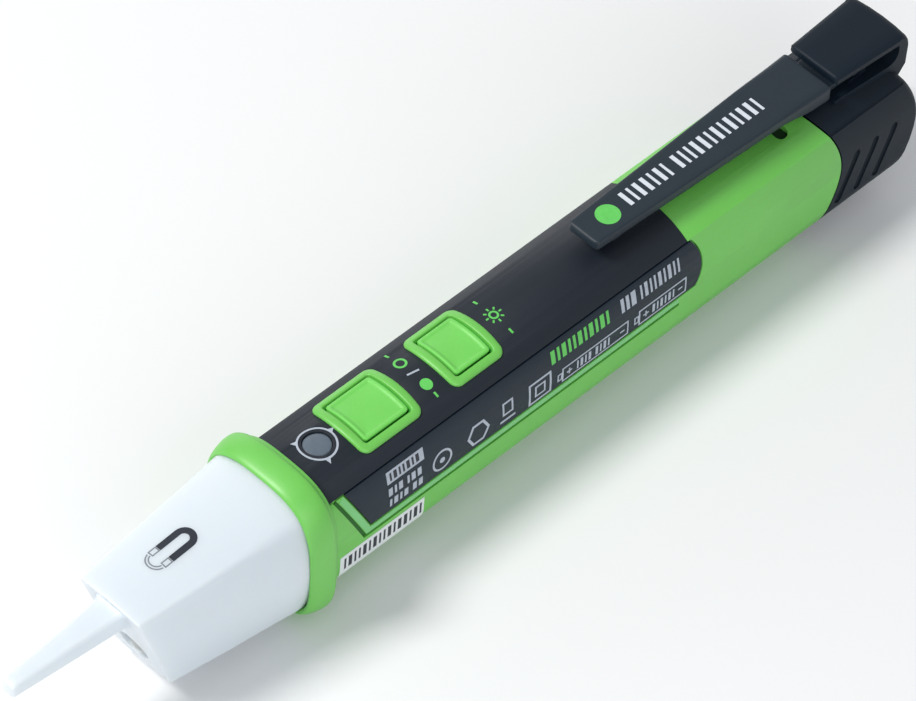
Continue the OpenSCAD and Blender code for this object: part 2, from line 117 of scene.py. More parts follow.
def shade(colour, factor):
    return tuple(c * factor for c in colour[:3]) + (1.0,)


def plastic(name, colour, rough=(0.36, 0.46), spread=0.06, grain=5200, bump=0.25, depth=0.00002,
            cloud=90, specular=0.5, **constants):
    """Moulded plastic: slight cloudiness in its colour, fine grain in its gloss and surface.

    rough holds the lowest and highest roughness, spread is how much the colour varies, grain and cloud
    are the scales of their noises, and constants are other inputs of the shader.
    """
    g = Graph(name)
    where = g.add("TexCoord").outputs["Object"]
    clouds = g.noise(where, cloud, 4.0, 0.55)
    speckle = g.noise(where, grain * 0.45, 2.0)
    tone = g.add("Mix", {"Factor": 0.3, "A": clouds, "B": speckle}, data_type="FLOAT").outputs["Result"]
    colours = g.ramp(tone, [(0.3, shade(colour, 1 - spread)), (0.7, shade(colour, 1 + spread))])
    grains = g.noise(where, grain, 3.0, 0.6)
    scuffs = g.noise(where, 420, 5.0, 0.65)
    gloss = g.add("Mix", {"Factor": 0.5, "A": grains, "B": scuffs}, data_type="FLOAT").outputs["Result"]
    relief = g.add("Bump", {"Height": grains, "Strength": bump, "Distance": depth}).outputs["Normal"]
    shader = g.add("BsdfPrincipled", {"Base Color": colours, "Roughness": g.span(gloss, *rough),
                                      "Normal": relief, "Specular IOR Level": specular, **constants})
    return g.finish(shader)


def milky(weight, radius, scale):
    """Shader inputs of a plastic that lets light in below its surface; scale is in metres."""
    return {"Subsurface Weight": weight, "Subsurface Radius": radius, "Subsurface Scale": scale}


def ink(name, colour, rough=(0.5, 0.65), spread=0.1):
    """Printed ink, finely mottled."""
    return plastic(name, colour, rough, spread, grain=6500, cloud=900)


def metal(name, colour, rough=(0.22, 0.4), streak=(60, 2400, 2400)):
    """Sheet or wire metal with fine drawing lines along x."""
    g = Graph(name)
    where = g.add("TexCoord").outputs["Object"]
    stretched = g.add("Mapping", {"Vector": where, "Scale": streak}).outputs["Vector"]
    lines = g.noise(stretched, 1.0, 4.0, 0.6)
    clouds = g.noise(where, 300, 3.0)
    colours = g.ramp(clouds, [(0.3, shade(colour, 0.9)), (0.7, colour)])
    relief = g.add("Bump", {"Height": lines, "Strength": 0.2, "Distance": 0.00001}).outputs["Normal"]
    shader = g.add("BsdfPrincipled", {"Base Color": colours, "Roughness": g.span(lines, *rough),
                                      "Normal": relief, "Metallic": 1.0})
    return g.finish(shader)


def cell_skin(name, wrap, sheet, bare=4.4):
    """Glossy wrap of a battery cell that leaves its metal ends bare within a radius in mm."""
    g = Graph(name)
    where = g.add("TexCoord").outputs["Object"]
    across = g.add("VectorMath", {0: where, 1: (0.0, 1.0, 1.0)}, operation="MULTIPLY").outputs["Vector"]
    reach = g.add("VectorMath", {0: across, 1: (0.0, 0.0, AXIS + CELL_Z * MM)}, operation="DISTANCE")
    metal_part = g.add("Math", {0: reach.outputs["Value"], 1: bare * MM}, operation="LESS_THAN").outputs[0]
    clouds = g.noise(where, 200, 4.0, 0.55)
    wraps = g.ramp(clouds, [(0.3, shade(wrap, 0.9)), (0.7, shade(wrap, 1.1))])
    sheets = g.ramp(g.noise(where, 1500, 3.0), [(0.3, shade(sheet, 0.85)), (0.7, sheet)])
    colours = g.add("MixRGB", {"Fac": metal_part, "Color1": wraps, "Color2": sheets}).outputs["Color"]
    relief = g.add("Bump", {"Height": clouds, "Strength": 0.1, "Distance": 0.00002}).outputs["Normal"]
    shader = g.add("BsdfPrincipled", {"Base Color": colours, "Roughness": g.span(clouds, 0.24, 0.4),
                                      "Metallic": metal_part, "Normal": relief})
    return g.finish(shader)


def clear(name, colour, rough=(0.05, 0.14)):
    """Clear tinted lamp plastic with faint flow marks."""
    g = Graph(name)
    where = g.add("TexCoord").outputs["Object"]
    flow = g.noise(where, 500, 3.0)
    colours = g.ramp(flow, [(0.3, shade(colour, 0.94)), (0.7, colour)])
    relief = g.add("Bump", {"Height": flow, "Strength": 0.05, "Distance": 0.00002}).outputs["Normal"]
    shader = g.add("BsdfPrincipled", {"Base Color": colours, "Roughness": g.span(flow, *rough),
                                      "Normal": relief, "Transmission Weight": 0.75, "IOR": 1.49})
    return g.finish(shader)


white_plastic = plastic("white_plastic", linear(216, 224, 230), rough=(0.34, 0.44), spread=0.012,
                        bump=0.12, **milky(0.6, (1.0, 0.95, 0.9), 0.003))
green_plastic = plastic("green_plastic", linear(108, 194, 80), rough=(0.38, 0.5), spread=0.04,
                        specular=0.75, **milky(0.12, (0.6, 1.0, 0.4), 0.0006))
button_plastic = plastic("button_plastic", linear(116, 206, 92), rough=(0.4, 0.52), spread=0.04,
                         grain=3800, bump=0.35, **milky(0.2, (0.6, 1.0, 0.4), 0.0008))
# Painted shade: dark green for the floors of the grooves beside the side panels
groove_shade_green = plastic("groove_shade_green", linear(24, 100, 20), rough=(0.55, 0.7), spread=0.08)
# Painted shade: darker green for the ledges in the gaps round the buttons
ledge_shade_green = plastic("ledge_shade_green", linear(50, 160, 38), rough=(0.5, 0.65), spread=0.06)
# Painted shade: near black green for the floor of the nail recess under the clip
recess_shade_green = plastic("recess_shade_green", linear(16, 52, 18), rough=(0.6, 0.75), spread=0.08)
border_green = plastic("border_green", linear(120, 200, 122), rough=(0.36, 0.48), spread=0.05)
black_plastic = plastic("black_plastic", linear(26, 33, 43), rough=(0.44, 0.56), spread=0.07,
                        grain=4200, bump=0.5, depth=0.00003, specular=0.4)
panel_plastic = plastic("panel_plastic", linear(16, 32, 46), rough=(0.42, 0.52), spread=0.06,
                        grain=4200, bump=0.4, depth=0.00003, specular=0.3)
cap_plastic = plastic("cap_plastic", linear(12, 26, 38), rough=(0.48, 0.62), spread=0.08,
                      grain=3600, bump=0.6, depth=0.00003, specular=0.28)
clip_plastic = plastic("clip_plastic", linear(30, 42, 52), rough=(0.44, 0.56), spread=0.07,
                       grain=3600, bump=0.5, depth=0.00003, specular=0.45)
window_plastic = plastic("window_plastic", linear(96, 108, 120), rough=(0.3, 0.42), spread=0.08,
                         grain=3000, cloud=700, **milky(0.2, (1, 1, 1), 0.0005))
grey_print = ink("grey_print", linear(176, 184, 196))
white_print = ink("white_print", linear(214, 220, 228), spread=0.06)
green_print = ink("green_print", linear(98, 200, 92))
dark_print = ink("dark_print", linear(34, 39, 50), rough=(0.45, 0.6))
field_print = ink("field_print", linear(122, 128, 136))
paper = plastic("paper", linear(226, 230, 232), rough=(0.55, 0.7), spread=0.03, grain=3000, bump=0.2)
board_mask = plastic("board_mask", linear(24, 92, 58), rough=(0.25, 0.4), spread=0.15, cloud=600)
switch_plastic = plastic("switch_plastic", linear(40, 40, 44), rough=(0.4, 0.55), spread=0.1)
ceramic = plastic("ceramic", linear(186, 160, 122), rough=(0.35, 0.5), spread=0.12, cloud=1500)
jacket = cell_skin("cell_jacket", linear(150, 118, 60), linear(190, 188, 182))
copper = metal("copper_wire", linear(206, 132, 84))
nickel = metal("nickel_sheet", linear(196, 194, 188))
clear_lens = clear("clear_lens", linear(236, 238, 232))
red_lens = clear("red_lens", linear(216, 60, 48))
green_lens = clear("green_lens", linear(90, 214, 96))


def coat(obj, material):
    """Gives an object this one material."""
    obj.data.materials.clear()
    obj.data.materials.append(material)


def dress(material, *names):
    """Gives CAD nodes a material."""
    for name in names:
        coat(nodes[name], material)


dress(copper, "probe_antenna", "magnetic_sensor_coil")
dress(clear_lens, "torch_led", "status_led")
dress(red_lens, "warning_led_red")
dress(green_lens, "ready_led_green")
dress(green_plastic, "lower_shell")
dress(black_plastic, "upper_shell")
dress(panel_plastic, "left_side_panel", "right_side_panel")
dress(window_plastic, "status_window")
dress(board_mask, "circuit_board")
dress(switch_plastic, "on_off_switch", "light_switch", "control_chip", "amplifier_chip", "buzzer")
dress(ceramic, "board_capacitors")
dress(nickel, "front_battery_contact", "contact_strip", "cap_contact_plate", "cap_contact_spring")
dress(jacket, "front_battery", "rear_battery")
dress(cap_plastic, "end_cap")
dress(clip_plastic, "pocket_clip")


# ------------------------------------------------------------- mesh builders

def add_object(name, data):
    obj = bpy.data.objects.new(name, data)
    bpy.context.scene.collection.objects.link(obj)
    return obj


def mesh_object(name, points, faces):
    """A closed mesh from points in mm, its faces turned outwards."""
    mesh = bpy.data.meshes.new(name)
    mesh.from_pydata([place(*p) for p in points], [], faces)
    made = bmesh.new()
    made.from_mesh(mesh)
    bmesh.ops.recalc_face_normals(made, faces=made.faces)
    made.to_mesh(mesh)
    made.free()
    return add_object(name, mesh)


def piece(name, points, faces, material, body, slot=None, replaces=(), smooth=38.0):
    """A mesh that rides on a body, in place of CAD nodes where they are given; its slot is not used."""
    obj = mesh_object(name, points, faces)
    coat(obj, material)
    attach(obj, body)
    if replaces:
        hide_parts(*replaces)
    soften(obj, smooth)
    return obj


def soften(obj, degrees):
    """Smooth shading with edges sharper than the angle kept."""
    mesh = obj.data
    mesh.polygons.foreach_set("use_smooth", [True] * len(mesh.polygons))
    mesh.set_sharp_from_angle(angle=math.radians(degrees))
    mesh.update()


def loft(rings, around=False):
    """Points and faces of a skin through closed rings; around joins the last ring to the first."""
    count, total = len(rings[0]), len(rings)
    points = [p for ring in rings for p in ring]
    faces = []
    for i in range(total if around else total - 1):
        here, ahead = i * count, (i + 1) % total * count
        for j in range(count):
            k = (j + 1) % count
            faces.append((here + j, here + k, ahead + k, ahead + j))
    if not around:
        faces.append(tuple(range(count - 1, -1, -1)))
        faces.append(tuple(range(len(points) - count, len(points))))
    return points, faces


def circle(radius, sides):
    """Points (a, b) round a circle."""
    turns = (2 * math.pi * i / sides for i in range(sides))
    return [(radius * math.cos(turn), radius * math.sin(turn)) for turn in turns]


def radians(degrees):
    """The angles of a row, turned from degrees."""
    return [math.radians(d) for d in degrees]


def lerp(a, b, t):
    return a + (b - a) * t


def mix(p, q, t):
    """Point part of the way from one to another."""
    return tuple(lerp(a, b, t) for a, b in zip(p, q))


def ease(t):
    """Smooth step from 0 to 1."""
    t = min(max(t, 0.0), 1.0)
    return t * t * (3 - 2 * t)


# ------------------------------------------------------------- camera, light

def aim(obj, towards, roll=0.0):
    """Turns a camera or lamp towards a point, rolled about its own axis."""
    back = (obj.location - Vector(towards)).normalized()
    right = Vector((0, 0, 1)).cross(back).normalized()
    up = back.cross(right)
    c, s = math.cos(roll), math.sin(roll)
    turned = Matrix((right * c + up * s, up * c - right * s, back)).transposed()
    obj.rotation_mode = "QUATERNION"
    obj.rotation_quaternion = turned.to_quaternion()


camera = add_object("camera", bpy.data.cameras.new("camera"))
camera.data.sensor_width = 36.0
camera.data.lens = 266.27
camera.data.clip_start, camera.data.clip_end = 0.05, 20.0
camera.location = (-0.4676, -0.4126, 0.7437)
aim(camera, (0.0042, 0.0047, 0.0134), math.radians(4.51))
bpy.context.scene.camera = camera

TARGET = Vector((0.0, 0.0, 0.01))


def area_light(name, direction, distance, size, watts, colour=(1, 1, 1)):
    lamp = bpy.data.lights.new(name, "AREA")
    lamp.shape, lamp.size, lamp.energy, lamp.color = "DISK", size, watts, colour
    obj = add_object(name, lamp)
    obj.location = TARGET + Vector(direction).normalized() * distance
    aim(obj, TARGET)


area_light("key", (-0.56, 0.37, 0.9), distance=0.9, size=0.28, watts=5.9, colour=(1.0, 0.985, 0.965))
area_light("fill", (-0.5, -0.9, 0.55), distance=1.1, size=0.9, watts=3.9, colour=(0.97, 0.985, 1.0))
area_light("rim", (0.5, 0.85, 0.22), distance=1.1, size=0.8, watts=2.2)

world = bpy.data.worlds.new("studio")
bpy.context.scene.world = world
world.use_nodes = True
sky = world.node_tree.nodes["Background"]
sky.inputs["Color"].default_value = (0.93, 0.96, 1.0, 1.0)
sky.inputs["Strength"].default_value = 0.43
bpy.context.scene.view_settings.view_transform = "Standard"

floor_mesh = bpy.data.meshes.new("floor")
floor_mesh.from_pydata([(-4, -4, 0), (4, -4, 0), (4, 4, 0), (-4, 4, 0)], [], [(0, 1, 2, 3)])
floor = add_object("floor", floor_mesh)
coat(floor, plastic("floor_paint", (0.86, 0.865, 0.87, 1.0), rough=(0.7, 0.8), spread=0.004,
                    grain=60, bump=0.02, depth=0.0002, cloud=3))


# ------------------------------------------------------------- probe tip

NOSE_TOP = (-28.4, 9.7)               # x and z of the top edge of the slanted front face
NOSE_RUN = 7.2 / 19.9                 # how far the front face runs back per unit of height
NOSE_HALF = (5.9, 9.8)                # half width and half height of the front face
TIP_ROOT = 1.9                        # how far the tip reaches into the collar
TORCH_R, TORCH_Z, TORCH_FLOOR = 2.8, -4.9, -21.5  # radius and height of the torch hole, x of its floor


def nose_x(z):
    """Where the slanted front face is at a height."""
    return NOSE_TOP[0] + (NOSE_TOP[1] - z) * NOSE_RUN


def tip_half(side, t):
    """Half the length of one of the tip's four sides, between its corners."""
    return lerp(10.1, 9.1, t) if side in (1, 3) else lerp(8.3, 5.85, t)


def tip_top(t):
    """Height of the top's corners, and how much higher its middle is."""
    return lerp(10.0, 8.75, t), lerp(2.05, 0.95, t)


def tip_side(side, s, t):
    """Point (y, z) on one of the tip's four sides.

    s runs from -1 to 1 along the side, and t from 0 at the collar to 1 at the nose.
    """
    bow = 1 - s * s
    half_w, low = tip_half(0, t), lerp(-10.2, -9.4, t)
    top, rise = tip_top(t)
    if side == 0:
        return s * half_w, top + rise * bow
    if side == 1:
        return half_w + lerp(2.0, 0.05, t) * bow, lerp(top, low, (s + 1) / 2)
    if side == 2:
        return -s * half_w, low - lerp(2.05, 0.8, t) * bow
    return -half_w - lerp(2.0, 0.05, t) * bow, lerp(low, top, (s + 1) / 2)


def tip_outline(t, inset=0.0):
    """Closed outline (y, z) of the tip, its corners rounded more towards the collar."""
    round_off = lerp(1.3, 0.36, ease(min(t * 1.6, 1.0)))
    outline = []
    for side in range(4):
        following = (side + 1) % 4
        reach = 1 - round_off / tip_half(side, t)
        start, corner = tip_side(side, reach, t), tip_side(side, 1, t)
        end = tip_side(following, round_off / tip_half(following, t) - 1, t)
        outline += [tip_side(side, lerp(-reach, reach, i / 14), t) for i in range(15)]
        outline += [mix(mix(start, corner, u), mix(corner, end, u), u) for u in (i / 8 for i in range(1, 8))]
    if inset:
        outline = [(y * (1 - inset / NOSE_HALF[0]), z * (1 - inset / NOSE_HALF[1])) for y, z in outline]
    return outline


def tip_ring(t, inset=0.0):
    return [(lerp(0, nose_x(z), t), y, z) for y, z in tip_outline(t, inset)]


def tip_height(x, y):
    """Height of the tip's top face."""
    t = x / (NOSE_TOP[0] + 0.2)
    top, rise = tip_top(t)
    return top + rise * (1 - (y / tip_half(0, t)) ** 2)


rings = [[(TIP_ROOT, y, z) for y, z in tip_outline(0)]]
rings += [tip_ring(t) for t in (0, 0.08, 0.16, 0.25, 0.35, 0.45, 0.55, 0.65, 0.75, 0.85, 0.94, 0.985)]
# The front edge is rounded
rings += [tip_ring(0.988 + 0.012 * math.sin(a), 0.24 * (1 - math.cos(a))) for a in radians((22, 45, 68, 90))]
tip = piece("tip_body", *loft(rings), white_plastic, "housing", "tip_white", ["tip_housing"])


def carve(obj, shape, operation="DIFFERENCE"):
    """Cuts a shape out of an object, or joins it on; the shape is an object, or points and faces."""
    cutter = shape if isinstance(shape, bpy.types.Object) else mesh_object("cutter", *shape)
    modifier = obj.modifiers.new("cut", "BOOLEAN")
    modifier.object, modifier.operation, modifier.solver = cutter, operation, "EXACT"
    bpy.context.view_layer.update()
    evaluated = obj.evaluated_get(bpy.context.evaluated_depsgraph_get())
    mesh = bpy.data.meshes.new_from_object(evaluated)
    obj.modifiers.clear()
    old, obj.data = obj.data, mesh
    bpy.data.meshes.remove(old)
    bpy.data.objects.remove(cutter)


def finish_cuts(obj, material, degrees):
    """One material and smooth shading again, after the last cut."""
    coat(obj, material)
    soften(obj, degrees)


def rod(x0, x1, radius, z):
    """Round bar along x, at a height."""
    return loft([[(x, y, z + up) for y, up in circle(radius, 64)] for x in (x0, x1)])


# Probe blade: a flat bar that narrows to a rounded end, with a fillet at its root
BLADE_Z, BLADE_END = 5.95, -46.75
BLADE_EDGE, BLADE_ROUND = 0.7, 0.5    # radii of its long edges and of its end
TAPER_X, TAPER_RUN = -27.0, 19.7      # where its taper starts, and how long that is


def blade_ring(x, half_w, half_h, corner, slant):
    """Rounded rectangle that leans with the front face by a share of its slant."""
    ring = []
    for quarter, (sy, sz) in enumerate(((1, 1), (-1, 1), (-1, -1), (1, -1))):
        for i in range(7):
            angle = math.pi / 2 * (quarter + i / 6)
            y = sy * (half_w - corner) + corner * math.cos(angle)
            z = sz * (half_h - corner) + corner * math.sin(angle)
            ring.append((x - slant * NOSE_RUN * z, y, BLADE_Z + z))
    return ring


def blade_size(x):
    """Half width and half height of the blade."""
    t = (TAPER_X - x) / TAPER_RUN
    return lerp(2.4, 1.25, t), lerp(2.0, 1.3, t)


root = nose_x(BLADE_Z)
rings = [blade_ring(root + 3, 3.4, 2.5, 1.2, 1.0)]
for a in radians(range(0, 91, 15)):
    flare = 1.3 * (1 - math.sin(a))
    x = root + 0.35 - 1.9 * (1 - math.cos(a))
    half_w, half_h = blade_size(x)
    rings.append(blade_ring(x, half_w + flare, half_h + flare * 0.5, BLADE_EDGE + flare * 0.5, 1.0))
for i in range(1, 12):
    x = lerp(root - 1.55, BLADE_END + BLADE_ROUND, i / 11)
    rings.append(blade_ring(x, *blade_size(x), BLADE_EDGE, max(0.0, 1 - i / 5)))
end_w, end_h = blade_size(BLADE_END)
for a in radians((20, 40, 58, 74, 86)):
    shrink = BLADE_ROUND * (1 - math.cos(a))
    x = BLADE_END + BLADE_ROUND - BLADE_ROUND * math.sin(a)
    rings.append(blade_ring(x, end_w - shrink, end_h - shrink, BLADE_EDGE - shrink, 0.0))
carve(tip, loft(rings), "UNION")
carve(tip, rod(-40, TORCH_FLOOR, TORCH_R, TORCH_Z))
finish_cuts(tip, white_plastic, 42)


# ------------------------------------------------------------- collar

def rounded_outline(half_w, half_h, upper, lower, count=160):
    """Rounded square (y, z) whose corners are squarer with a higher power, upper and lower ones apart."""
    outline = []
    for c, s in circle(1.0, count):
        power = upper if s > 0 else lower
        outline.append((math.copysign(abs(c) ** (2 / power), c) * half_w,
                        math.copysign(abs(s) ** (2 / power), s) * half_h))
    return outline


COLLAR_W, COLLAR_H = 11.5, 13.4       # half width and half height of the collar's widest ring
# Points (x, inset) round the collar's section
COLLAR_PROFILE = [(1.9, 1.5), (0.4, 1.4), (0.1, 1.28), (0.0, 1.12), (0.0, 0.98), (0.08, 0.86), (0.3, 0.68),
                  (0.8, 0.46), (1.5, 0.26), (2.3, 0.1), (3.0, 0.0), (3.7, 0.0), (4.1, 0.06), (4.4, 0.24),
                  (4.6, 0.52), (4.7, 0.85), (4.74, 1.02), (4.9, 1.08), (5.3, 1.1), (5.5, 1.22), (5.62, 1.5),
                  (5.75, 1.85), (6.0, 2.2), (6.2, 2.6), (6.2, 2.9), (4.0, 3.0)]
COLLAR_LEAN = 0.03                    # how far it leans back per unit of height, towards the belly
rings = []
for x, inset in COLLAR_PROFILE:
    outline = rounded_outline(COLLAR_W - inset, COLLAR_H - inset * 1.05, upper=3.0, lower=3.7)
    rings.append([(x + COLLAR_LEAN * (COLLAR_H - z), y, z) for y, z in outline])
piece("collar_band", *loft(rings, around=True), green_plastic, "housing", "green_shell", ["collar_ring"])


# ------------------------------------------------------------- body surfaces

def crown(x, y, rise=0.0):
    """Point above the crowned top."""
    angle = math.asin(y / CROWN_R)
    r = CROWN_R + rise
    return (x, r * math.sin(angle), CROWN_Z + r * math.cos(angle))


def flank(side):
    """Surface function of a body side; v is height, carried round the belly below its corner."""
    def at(x, v, rise=0.0):
        if v >= 0:
            angle = math.asin(v / SIDE_R)
            r = SIDE_R + rise
            y, z = BODY_W - SIDE_R + r * math.cos(angle), r * math.sin(angle)
        elif v >= BELLY_R - BODY_H:
            y, z = BODY_W + rise, v
        else:
            angle = (BELLY_R - BODY_H - v) / BELLY_R
            r = BELLY_R + rise
            y, z = BODY_W - BELLY_R + r * math.cos(angle), BELLY_R - BODY_H - r * math.sin(angle)
        return (x, side * y, z)
    return at


def body_outline(inset=0.0, arc=10):
    """Closed outline (y, z) of the body's section, from the right shoulder round the belly, inset evenly."""
    top_r, side_r, belly_r = CROWN_R - inset, SIDE_R - inset, BELLY_R - inset
    gap = math.hypot(BODY_W - SIDE_R, CROWN_Z)
    # Where the crowned top meets the bulging side
    along = (top_r ** 2 - side_r ** 2 + gap ** 2) / (2 * gap)
    off = math.sqrt(top_r ** 2 - along ** 2)
    ux, uz = (BODY_W - SIDE_R) / gap, -CROWN_Z / gap
    corner = (along * ux + off * uz, CROWN_Z + along * uz - off * ux)
    side_angle = math.asin(corner[1] / side_r)
    half = [(BODY_W - SIDE_R + side_r * math.cos(a), side_r * math.sin(a))
            for a in (lerp(side_angle, 0, i / arc) for i in range(arc + 1))]
    drop = BELLY_R - BODY_H
    half += [(BODY_W - inset, lerp(0, drop, i / 3)) for i in (1, 2)]
    half += [(BODY_W - BELLY_R + belly_r * math.cos(a), drop - belly_r * math.sin(a))
             for a in (math.pi / 2 * i / 10 for i in range(11))]
    top_angle = math.atan2(corner[0], corner[1] - CROWN_Z)
    crown_half = [(top_r * math.sin(a), CROWN_Z + top_r * math.cos(a))
                  for a in (lerp(0, top_angle, i / arc) for i in range(1, arc))]
    right = crown_half + half
    return [(0.0, CROWN_Z + top_r)] + right + [(-y, z) for y, z in reversed(right)]


# ------------------------------------------------------------- bezels and buttons

def pad_outline(length, width, grow, radius, bow=(0.0, 0.0), steps=8, along=10):
    """Rounded rectangle in plan, grown by an amount, its front and rear sides bowed outwards."""
    out = []
    half_l, half_w = length / 2 + grow, width / 2 + grow
    corners = [(sx * (half_l - radius), sy * (half_w - radius))
               for sx, sy in ((1, 1), (-1, 1), (-1, -1), (1, -1))]
    for k, corner in enumerate(corners):
        for i in range(steps + 1):
            a = math.pi / 2 * (k + i / steps)
            out.append((corner[0] + radius * math.cos(a), corner[1] + radius * math.sin(a)))
        following = corners[(k + 1) % 4]
        for i in range(1, along):
            x, y = mix(corner, following, i / along)
            out.append((x + radius * math.cos(a), y + radius * math.sin(a)))
    front, rear = bow
    return [(x + x / half_l * (rear if x > 0 else front) * max(0.0, 1 - (y / half_w) ** 2), y)
            for x, y in out]


def crowned_rings(centre, length, width, section, bow=(0.0, 0.0)):
    """Rings over the crowned top from (grow, rise, corner radius); the bow grows with the outline."""
    rings = []
    for grow, rise, radius in section:
        share = max(0.0, min(1.0, grow / 1.3))
        outline = pad_outline(length, width, grow, radius, (bow[0] * share, bow[1] * share))
        rings.append([crown(centre + x, y, rise) for x, y in outline])
    return rings


# Sections of a frame and of a button, as (growth in plan, height above the crowned top, corner radius)
BEZEL = [(0.3, -1.3, 0.55), (0.3, 0.26, 0.55), (0.34, 0.36, 0.58), (0.44, 0.42, 0.62), (0.62, 0.45, 0.7),
         (0.95, 0.45, 0.9), (1.2, 0.4, 1.05), (1.38, 0.3, 1.18), (1.49, 0.15, 1.26), (1.52, 0.0, 1.3),
         (1.52, -1.3, 1.3)]
# A step in the gap around the button, a little below the top, painted a darker green as shade in the gap
LEDGE = [(0.32, -0.9, 0.6), (0.14, -0.3, 0.5), (0.14, -0.16, 0.5), (0.17, -0.12, 0.5), (0.36, -0.12, 0.6),
         (0.36, -0.9, 0.6)]
KEY = [(-0.04, -2.0, 0.5), (-0.04, 0.16, 0.5), (-0.07, 0.26, 0.48), (-0.14, 0.33, 0.45), (-0.25, 0.36, 0.4),
       (-0.5, 0.34, 0.34), (-0.62, 0.28, 0.32), (-0.72, 0.17, 0.3), (-0.86, 0.11, 0.3), (-1.2, 0.08, 0.3),
       (-1.8, 0.03, 0.3), (-2.5, 0.0, 0.3), (-3.1, -0.02, 0.2)]


BUTTON_W = 8.1
ON_OFF, LIGHT = (21.1, 8.6), (38.15, 6.9)         # middle and length of each button


def bezel(name, centre, length, replaced):
    rings = crowned_rings(centre, length, BUTTON_W, BEZEL, (0.3, 0.32))
    piece(name, *loft(rings, around=True), green_plastic, "housing", "green_shell", [replaced], smooth=60)
    rings = crowned_rings(centre, length, BUTTON_W, LEDGE)
    piece(name + "_ledge", *loft(rings, around=True), ledge_shade_green, "housing", "green_shell", smooth=60)


def button(name, centre, length, body, replaced):
    rings = crowned_rings(centre, length, BUTTON_W, KEY)
    piece(name, *loft(rings), button_plastic, body, "green_button", [replaced], smooth=60)


bezel("on_off_frame", *ON_OFF, "on_off_bezel")
bezel("light_frame", *LIGHT, "light_bezel")
button("on_off_key", *ON_OFF, "on_off_button", "on_off_button")
button("light_key", *LIGHT, "light_button", "light_button")


# ------------------------------------------------------------- status window

WINDOW_X = 11.4
# Radius of each ring of the lens, and its height above the crowned top
WINDOW = [(2.14, -1.2), (2.14, -0.3), (2.08, -0.24), (1.9, -0.2), (1.3, -0.16), (0.5, -0.14)]
rings = [[crown(WINDOW_X + x, y, rise) for x, y in circle(radius, 64)] for radius, rise in WINDOW]
piece("window_lens", *loft(rings), window_plastic, "housing", "grey_window", ["status_window"], smooth=60)


# ------------------------------------------------------------- edges of the carried-over shells

def ease_edges(name, width, segments=2, angle=32.0):
    """Small rounded edges on a CAD node, by modifiers only."""
    obj = nodes[name]
    weld = obj.modifiers.new("weld", "WELD")
    weld.merge_threshold = 0.002 * MM
    bevel = obj.modifiers.new("edges", "BEVEL")
    bevel.width, bevel.segments = width * MM, segments
    bevel.limit_method, bevel.angle_limit = "ANGLE", math.radians(angle)
    bevel.harden_normals = True
    bevel.miter_outer = "MITER_ARC"


for name in ("lower_shell", "upper_shell"):
    ease_edges(name, 0.1)
for name in ("left_side_panel", "right_side_panel"):
    ease_edges(name, 0.14)


# ------------------------------------------------------------- pocket clip

CLIP_TOP, CLIP_FRONT, CLIP_ROOT = 14.5, 63.8, 111.0
PIVOT = (118.0, 11.75)                # x and z of the bead that the clip turns on
BEAD_R, BEAD_HALF = 1.0, 3.3          # radius of the bead, and half its length
TONGUE_HALF = 0.55                    # half thickness of the tongue between bar and bead
PAD = (69.5, 13.7, 3.0, 1.9)          # x, z, radius and half width of the pad under the clip's front


def clip_half(x):
    """Half width of the clip."""
    return lerp(2.9, 4.7, (x - CLIP_FRONT) / (CLIP_ROOT - CLIP_FRONT))


def clip_under(x):
    """Height of the clip's underside, which drops at its root."""
    return 12.8 - 1.1 * ease((x - 100.5) / 7.5)


def slab_ring(x, half_w, low, top, r_top, r_low, steps=5):
    """Ring of a flat bar with rounded edges, its top divided so that it shades evenly."""
    ring = []
    for k, (sy, cz, r) in enumerate(((1, top, r_top), (-1, top, r_top), (-1, low, r_low), (1, low, r_low))):
        for i in range(steps + 1):
            a = math.pi / 2 * (k + i / steps)
            zc = cz - r if k < 2 else cz + r
            ring.append((x, sy * (half_w - r) + r * math.cos(a), zc + r * math.sin(a)))
        if k == 0:
            ring += [(x, (half_w - r) * (1 - 2 * i / 10), top) for i in range(1, 10)]
    return ring


def across(side, half):
    """A solid with a side outline of (x, z), half a width to either side of the middle."""
    return loft([[(x, y, z) for x, z in side] for y in (-half, half)])


def cross_rod(x, z, radius, half, sides=48):
    """Round bar across the pen."""
    return across([(x + a, z + b) for a, b in circle(radius, sides)], half)


rings = []
for a in radians((8, 30, 52, 72, 90)):
    inset = 0.5 * (1 - math.sin(a))
    x = CLIP_FRONT + 0.55 * (1 - math.cos(a))
    rings.append(slab_ring(x, clip_half(x) - inset - inset, clip_under(x) + inset * 0.8,
                           CLIP_TOP - inset * 0.9, 0.35, 0.25))
spots = [65.2, 66.5, 68.5] + [lerp(72, 99, i / 9) for i in range(10)]
spots += [lerp(100.2, 110.4, i / 15) for i in range(16)]
for x in spots:
    soft = ease((x - 99) / 9)
    rings.append(slab_ring(x, clip_half(x), clip_under(x), CLIP_TOP, 0.35 + 0.4 * soft, 0.25))
for a in radians((25, 50, 75)):
    drop = 0.6 * (1 - math.cos(a))
    x = CLIP_ROOT - 0.6 + 0.6 * math.sin(a)
    rings.append(slab_ring(x, clip_half(x) - drop * 0.5, clip_under(x), CLIP_TOP - drop, 0.7, 0.25))
clip = piece("clip_bar", *loft(rings), clip_plastic, "clip", "clip_black", ["pocket_clip"])
tongue = [slab_ring(x, BEAD_HALF, PIVOT[1] - TONGUE_HALF, PIVOT[1] + TONGUE_HALF, 0.15, 0.15)
          for x in (109.0, PIVOT[0])]
carve(clip, loft(tongue), "UNION")
carve(clip, cross_rod(*PIVOT, BEAD_R, BEAD_HALF), "UNION")
pad_x, pad_z, pad_r, pad_half = PAD
pad_side = [(pad_x + pad_r * math.cos(a), pad_z + pad_r * math.sin(a)) for a in radians(range(197, 344, 6))]
carve(clip, across(pad_side, pad_half), "UNION")
finish_cuts(clip, clip_plastic, 38)


# ------------------------------------------------------------- end cap

